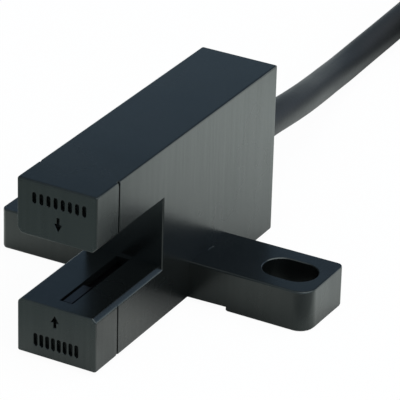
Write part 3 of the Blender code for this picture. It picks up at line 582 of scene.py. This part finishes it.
def metal(name, colour, rough):
    """A metal with a fine grain, whose colour drifts up to METAL_DRIFT times lighter."""
    lighter = tuple(min(1.0, part * METAL_DRIFT) for part in colour)
    made = plastic(name, colour, lighter, rough, grain_size=0.15, bump=0.2)
    made.node_tree.nodes["Principled BSDF"].inputs["Metallic"].default_value = 1.0
    return made


def give(obj, material):
    """Makes a material the object's only one."""
    obj.data.materials.clear()
    obj.data.materials.append(material)


# Case

def prism(outline, y0, y1):
    """A closed prism's points and faces: an (x, z) outline at y0 and at y1, with a fan in both ends."""
    n = len(outline)
    rows = [np.column_stack([outline[:, 0], np.full(n, y), outline[:, 1]]) for y in (y0, y1)]
    x, z = outline.mean(axis=0)
    j = np.arange(n)
    j2 = (j + 1) % n
    faces = np.stack([j, j2, j2 + n, j + n], axis=1).tolist()
    faces += np.stack([j2, j, np.full(n, 2 * n)], axis=1).tolist()
    faces += np.stack([j + n, j2 + n, np.full(n, 2 * n + 1)], axis=1).tolist()
    return np.vstack([*rows, (x, y0, z), (x, y1, z)]), faces


def upright_bar(x, z, width, height):
    """An obround outline: half circles of the width's radius above and below straight sides."""
    a = np.linspace(0.0, math.pi, 7)
    r = width / 2
    run = height / 2 - r
    top = np.column_stack([x + r * np.cos(a), z + run + r * np.sin(a)])
    return np.vstack([top, np.column_stack([x - r * np.cos(a), z - run - r * np.sin(a)])])


def arrow(x, z, width, height, way):
    """A slim triangle with a short shank, which points up for way 1 and down for -1."""
    w, h = width / 2, height / 2 * way
    neck, shank = -ARROW_NECK * h, ARROW_SHANK * width
    head = [(0, h), (w, neck), (shank, neck)]
    return np.array([*head, (shank, -h), (-shank, -h), (-shank, neck), (-w, neck)]) + (x, z)


def pressed_marks():
    """All marks of the two front faces as one cutter."""
    outlines = []
    for left, right, z, height in MARK_ROWS:
        for x in np.linspace(left + MARK_WIDTH / 2, right - MARK_WIDTH / 2, MARK_BARS):
            outlines.append(upright_bar(x, z, MARK_WIDTH, height))
    outlines += [arrow(*sizes) for sizes in ARROWS]
    points, faces, base = [], [], 0
    for outline in outlines:
        rows, corners = prism(outline, FRONT - MARK_CLEAR, FRONT + MARK_DEPTH)
        points.append(rows)
        faces += [[corner + base for corner in face] for face in corners]
        base += len(rows)
    cutter = add_object("marks", np.vstack(points), faces)
    outwards(cutter)
    return cutter


def settle(obj):
    """Turns an object's modifiers into its mesh."""
    evaluated = obj.evaluated_get(bpy.context.evaluated_depsgraph_get())
    mesh = bpy.data.meshes.new_from_object(evaluated)
    obj.modifiers.clear()
    obj.data = mesh


def in_cavity(place):
    """Whether a place, in millimetres, lies on the inner wall of the hollow case."""
    x, y, z = place
    inside = BASE + CAVITY_INSET < z < TOP - CAVITY_INSET
    return abs(x) < CAVITY_HALF_WIDTH and y > FRONT + CAVITY_INSET and inside


def ease_edges(obj):
    """Rounds each outer sharp edge by EDGE_EASE, or less beside a narrow face, and none of the cavity's.
    Then shades round what turns by less than SHARP, and keeps broad faces flat."""
    bm = bmesh.new()
    bm.from_mesh(obj.data)
    weight = bm.edges.layers.float.new("bevel_weight_edge")
    for edge in bm.edges:
        if len(edge.link_faces) != 2 or not edge.is_convex or edge.calc_face_angle() < SHARP:
            continue
        if in_cavity((edge.verts[0].co + edge.verts[1].co) / 2 / MM):
            continue
        room = min(face.calc_area() for face in edge.link_faces) / edge.calc_length() / MM
        edge[weight] = min(1.0, EASE_SHARE * room / EDGE_EASE)
    bm.to_mesh(obj.data)
    bm.free()
    bevel = obj.modifiers.new("eased edges", "BEVEL")
    bevel.width = EDGE_EASE * MM
    bevel.segments = 3
    bevel.limit_method = "WEIGHT"
    bevel.use_clamp_overlap = False
    settle(obj)
    bm = bmesh.new()
    bm.from_mesh(obj.data)
    for face in bm.faces:
        face.smooth = True
    for edge in bm.edges:
        edge.smooth = len(edge.link_faces) == 2 and edge.calc_face_angle() < SHARP
    bm.to_mesh(obj.data)
    bm.free()
    normals = obj.modifiers.new("flat faces", "WEIGHTED_NORMAL")
    normals.keep_sharp = True


def tighten_corners(bm):
    """Gives two corners of the bar a smaller radius: each point p of the arc becomes c + (p - c) times
    TIGHT_RADIUS / BAR_RADIUS, where c is the corner that the arc cuts off."""
    for place in TIGHT_CORNERS:
        corner = Vector(place) * MM
        for vert in bm.verts:
            away = vert.co.xy - corner
            if max(abs(away.x), abs(away.y)) < (BAR_RADIUS + 0.01) * MM:
                vert.co.xy = corner + away * TIGHT_RADIUS / BAR_RADIUS


def make_case_skin():
    """The case's own surface, with its edges eased and its marks pressed in."""
    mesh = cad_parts["case"].data.copy()
    mesh.name = "case_skin"
    mesh.materials.clear()
    bm = bmesh.new()
    bm.from_mesh(mesh)
    bmesh.ops.remove_doubles(bm, verts=bm.verts, dist=1e-6)
    bmesh.ops.dissolve_limit(bm, angle_limit=math.radians(0.5), verts=bm.verts, edges=bm.edges)
    tighten_corners(bm)
    bm.to_mesh(mesh)
    bm.free()
    skin = bpy.data.objects.new("case_skin", mesh)
    bpy.context.scene.collection.objects.link(skin)
    cutter = pressed_marks()
    press = skin.modifiers.new("marks", "BOOLEAN")
    press.operation = "DIFFERENCE"
    press.solver = "EXACT"
    press.object = cutter
    settle(skin)
    bpy.data.objects.remove(cutter, do_unlink=True)
    ease_edges(skin)
    return skin


# Hairlines on the case

def make_ridge(name, points, radius):
    """A hairline ridge that stands about half out of the surface. Its radius drifts: 0.7 + the sum of
    share sin(rate run + start) over the rows of RIDGE_DRIFT."""
    run = np.arange(len(points)) * RIM_STEP
    drift = 0.7 + sum(share * np.sin(rate * run + start) for share, rate, start in RIDGE_DRIFT)
    return tube(name, points, radius * drift, around=8)


def make_rim(name, low, high):
    """A ridge along a rounded rectangle on an arm's front face, RIM_INSET inside its outline. Each corner is
    a quarter circle: middle + RIM_CORNER (cos a, sin a)."""
    half = HALF_WIDTH - RIM_INSET - RIM_CORNER
    bottom, top = low + RIM_INSET + RIM_CORNER, high - RIM_INSET - RIM_CORNER
    corners = []
    for x, z, start in ((half, top, 0), (-half, top, 90), (-half, bottom, 180), (half, bottom, 270)):
        a = np.linspace(0.0, math.pi / 2, 6) + math.radians(start)
        y = np.full(len(a), FRONT + RIM_SUNK)
        corners.append(np.column_stack([x + RIM_CORNER * np.cos(a), y, z + RIM_CORNER * np.sin(a)]))
    outline = np.vstack([*corners, corners[0][:1]])
    return make_ridge(name, even_path(outline, RIM_STEP), RIM_RADIUS)


def make_insert_line():
    """The seam of a mould insert: an upright ridge through its heights on the lower arm's front face."""
    points = np.array([(INSERT_X, FRONT + INSERT_SUNK, z) for z in INSERT_HEIGHTS])
    return make_ridge("insert_line", points, INSERT_RADIUS)


def make_gate_mark():
    """A thin bent ridge on the bar beside the case: centre + (radius x cos a, radius y sin a), part of an
    ellipse."""
    a = np.radians(np.linspace(*GATE_ARC, 9))
    x = GATE_CENTRE[0] + GATE_RADII[0] * np.cos(a)
    y = GATE_CENTRE[1] + GATE_RADII[1] * np.sin(a)
    z = np.full(len(a), BAR_TOP + GATE_PROUD)
    return tube("gate_mark", np.column_stack([x, y, z]), GATE_RADIUS, around=8)


# Studio

def set_world():
    """White for the camera. For the object a sky that falls from pale at the horizon to a dim blue grey, is
    pale again overhead, and is brighter on the right."""
    world = bpy.data.worlds.new("studio")
    bpy.context.scene.world = world
    world.use_nodes = True
    tree = world.node_tree
    tree.nodes.clear()
    direction = add_node(tree, "ShaderNodeTexCoord").outputs["Generated"]
    parts = add_node(tree, "ShaderNodeSeparateXYZ", inputs={0: direction})
    by_height = colour_ramp(tree, parts.outputs["Z"], SKY_BY_HEIGHT)
    by_side = colour_ramp(tree, parts.outputs["X"], SKY_BY_SIDE)
    factors = {0: 1.0, 6: by_height, 7: by_side}
    sky = add_node(tree, "ShaderNodeMix", data_type="RGBA", blend_type="MULTIPLY", inputs=factors)
    seen = add_node(tree, "ShaderNodeBackground", inputs={"Color": sky.outputs[2], "Strength": SKY_STRENGTH})
    white = add_node(tree, "ShaderNodeBackground", inputs={"Color": (1.0, 1.0, 1.0, 1.0), "Strength": 1.0})
    mix = mix_shaders(tree, seen_directly(tree), seen.outputs[0], white.outputs[0])
    add_node(tree, "ShaderNodeOutputWorld", inputs={0: mix})


def backdrop_strength(tree):
    """The backdrop's strength: the object's painted shade near it, times its change across, times a painted
    dark patch.
    """
    # Painted shadow: the object's shade, painted onto the mirrored backdrop by occlusion
    near = add_node(tree, "ShaderNodeAmbientOcclusion", samples=6, inputs={"Distance": BACKDROP_SHADE * MM})
    shade = math_node(tree, "POWER", near.outputs["AO"], BACKDROP_SHADE_POWER)
    across = along(tree, ACROSS_RUN)
    stops = [(position, (value, value, value)) for position, value in ACROSS]
    change = colour_ramp(tree, map_range(tree, across, ACROSS_FROM, ACROSS_TO), stops)
    # Painted shade: the mirrored backdrop is darkened in a patch to the front right
    beyond = map_range(tree, across, *PAINTED_DARK_ACROSS, kind="SMOOTHSTEP")
    behind = map_range(tree, along(tree, BACKDROP_RUN), *PAINTED_DARK_ALONG, kind="SMOOTHSTEP")
    painted_dark = math_node(tree, "MULTIPLY_ADD", math_node(tree, "MULTIPLY", beyond, behind), -PAINTED_DARK_SHADE, 1.0)
    return math_node(tree, "MULTIPLY", math_node(tree, "MULTIPLY", shade, change), painted_dark)


def make_floor():
    """A wide pale floor. The camera sees it lifted most of the way to white, so that its shadows stay faint.
    The object mirrors it mostly as a glow, a painted reflection that grows paler to the back right, with a
    painted dim band across it."""
    r = FLOOR_REACH
    floor = add_object("floor", [(-r, -r, 0.0), (r, -r, 0.0), (r, r, 0.0), (-r, r, 0.0)], [(0, 1, 2, 3)])
    made = bpy.data.materials.new("floor")
    made.use_nodes = True
    tree = made.node_tree
    shader = tree.nodes["Principled BSDF"]
    shader.inputs["Base Color"].default_value = (0.9, 0.9, 0.9, 1.0)
    shader.inputs["Roughness"].default_value = 0.9
    shader.inputs["Specular IOR Level"].default_value = 0.0
    run = map_range(tree, along(tree, BACKDROP_RUN), BACKDROP_FROM, BACKDROP_TO)
    colour = {"Color": colour_ramp(tree, run, BACKDROP), "Strength": backdrop_strength(tree)}
    # Painted reflection: for mirrored rays the floor glows with the backdrop's colour and strength
    mirrored = add_node(tree, "ShaderNodeEmission", inputs=colour)
    white = add_node(tree, "ShaderNodeEmission", inputs={"Color": (1.0, 1.0, 1.0, 1.0), "Strength": 1.0})
    glossy = add_node(tree, "ShaderNodeLightPath").outputs["Is Glossy Ray"]
    share = math_node(tree, "MULTIPLY", glossy, BACKDROP_SHARE)
    lit = mix_shaders(tree, share, shader.outputs[0], mirrored.outputs[0])
    lift = math_node(tree, "MULTIPLY", seen_directly(tree), FLOOR_WHITE)
    mix = mix_shaders(tree, lift, lit, white.outputs[0])
    tree.links.new(mix, tree.nodes["Material Output"].inputs[0])
    give(floor, made)


def area_lamp(name, place, target, size, power, colour=(1.0, 1.0, 1.0)):
    """A round lamp of a diameter in millimetres, turned towards its target."""
    data = bpy.data.lights.new(name, "AREA")
    data.shape = "DISK"
    data.size = size * MM
    data.energy = power
    data.color = colour
    lamp = bpy.data.objects.new(name, data)
    lamp.location = Vector(place) * MM
    lamp.rotation_euler = (Vector(target) - Vector(place)).to_track_quat("-Z", "Y").to_euler()
    bpy.context.scene.collection.objects.link(lamp)


# Camera and cable

set_camera()

path = cable_path()
sheath = tube("cable_skin", path, CABLE_RADIUS, around=20)
cores = {
    "brown": make_end_core("brown", math.radians(-30), 1),
    "black": make_end_core("black", math.radians(90), 0),
    "blue": make_end_core("blue", math.radians(210), -1),
}
ties = [make_tie(f"coil_strap_{i + 1}", angle, path) for i, angle in enumerate(TIE_ANGLES)]

# Materials

black_plastic = plastic(
    "black moulded plastic",
    (0.0024, 0.0029, 0.0028),
    (0.0036, 0.0043, 0.0041),
    (0.23, 0.29),
    waviness=3.0,
    streaks=0.5,
    bump=0.006,
)
add_sheen(black_plastic, streak_shine=0.12, rough=0.23, tint=(0.87, 1.0, 0.97))
inner_plastic = plastic("dull black plastic", (0.004, 0.005, 0.005), (0.007, 0.008, 0.008), (0.5, 0.6))
window_plastic = plastic(
    "dark window",
    (0.0022, 0.002, 0.0026),
    (0.0034, 0.003, 0.004),
    (0.2, 0.26),
    bump=0.004,
)
pvc = plastic(
    "cable sheath",
    (0.005, 0.006, 0.0065),
    (0.008, 0.009, 0.0095),
    (0.5, 0.58),
    grain_size=0.5,
    bump=0.03,
)
rubber = plastic(
    "rubber",
    (0.012, 0.012, 0.013),
    (0.018, 0.018, 0.019),
    (0.6, 0.7),
    grain_size=0.4,
    bump=0.03,
)
strap = plastic("strap", (0.012, 0.012, 0.013), (0.02, 0.02, 0.021), (0.4, 0.5))
tin = metal("tinned copper", (0.62, 0.61, 0.58), (0.3, 0.4))
plated = metal("plated steel", (0.55, 0.52, 0.45), (0.25, 0.4))
clear_resin = plastic("clear resin", (0.3, 0.34, 0.48), (0.35, 0.39, 0.52), (0.1, 0.18), bump=0.002)
dark_resin = plastic("dark resin", (0.018, 0.014, 0.018), (0.024, 0.019, 0.024), (0.15, 0.25), bump=0.002)
solder_mask = plastic(
    "solder mask",
    (0.016, 0.11, 0.05),
    (0.024, 0.15, 0.07),
    (0.35, 0.5),
    grain_size=0.2,
    bump=0.008,
)
chip_resin = plastic("chip resin", (0.02, 0.02, 0.022), (0.03, 0.03, 0.032), (0.4, 0.55), grain_size=0.12)
ceramic = plastic("ceramic", (0.38, 0.28, 0.18), (0.46, 0.34, 0.22), (0.45, 0.6), grain_size=0.15)
glaze = plastic("glazed resistor", (0.04, 0.04, 0.045), (0.06, 0.06, 0.065), (0.25, 0.4), grain_size=0.2)
insulation = {
    "brown": plastic("brown insulation", (0.12, 0.045, 0.018), (0.16, 0.06, 0.025), (0.35, 0.42)),
    "black": plastic("black insulation", (0.012, 0.012, 0.013), (0.018, 0.018, 0.019), (0.35, 0.42)),
    "blue": plastic("blue insulation", (0.015, 0.06, 0.28), (0.02, 0.08, 0.35), (0.35, 0.42)),
}

# Cable's finish

give(sheath, pvc)
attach(sheath, "root")
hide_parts("cable", "cable_coil", "cable_tail")
on_cable = list(ties)
for colour, (cover, tip) in cores.items():
    give(cover, insulation[colour])
    give(tip, tin)
    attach(cover, "root")
    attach(tip, "root")
    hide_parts(f"end_core_{colour}")
    on_cable += [cover, tip]
for i, tie in enumerate(ties):
    give(tie, strap)
    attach(tie, "root")
    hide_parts(f"coil_tie_{i + 1}")
on_cable += [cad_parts["cable_bushing"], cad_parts["cable_entry"]]

# Case, with its hairlines

case_skin = make_case_skin()
give(case_skin, black_plastic)
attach(case_skin, "root")
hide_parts("case")
hairlines = [
    make_rim("upper_rim", SLOT_ROOF, TOP),
    make_rim("lower_rim", BASE, SLOT_FLOOR),
    make_insert_line(),
    make_gate_mark(),
]
for line in hairlines:
    give(line, black_plastic)
    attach(line, "root")

# Finishes of the CAD model's own nodes

finishes = {
    black_plastic: ["rear_cover"],
    window_plastic: ["emitter_window", "receiver_window"],
    inner_plastic: ["emitter_holder", "receiver_holder"],
    pvc: ["cable_entry"],
    rubber: ["cable_bushing"],
    clear_resin: ["infrared_emitter"],
    dark_resin: ["photo_receiver"],
    solder_mask: ["circuit_board"],
    chip_resin: ["amplifier_chip", "output_transistor", "voltage_regulator", "protection_diode"],
    ceramic: ["capacitor_1", "capacitor_2"],
    glaze: ["resistor_1", "resistor_2", "resistor_3", "resistor_4"],
    tin: ["solder_joint_brown", "solder_joint_black", "solder_joint_blue"],
    plated: ["cable_clamp"],
}
for finish, nodes in finishes.items():
    for node in nodes:
        give(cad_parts[node], finish)
for colour, finish in insulation.items():
    give(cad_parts[f"inner_core_{colour}"], finish)

# Studio

bpy.context.scene.view_settings.view_transform = "Standard"
set_world()
make_floor()
area_lamp("key", place=(320, -60, 560), target=(0, 0, 0), size=1000, power=4.5)
area_lamp("fill", place=(-300, -420, 500), target=(0, 20, 0), size=500, power=0.4, colour=(0.93, 0.97, 1.0))
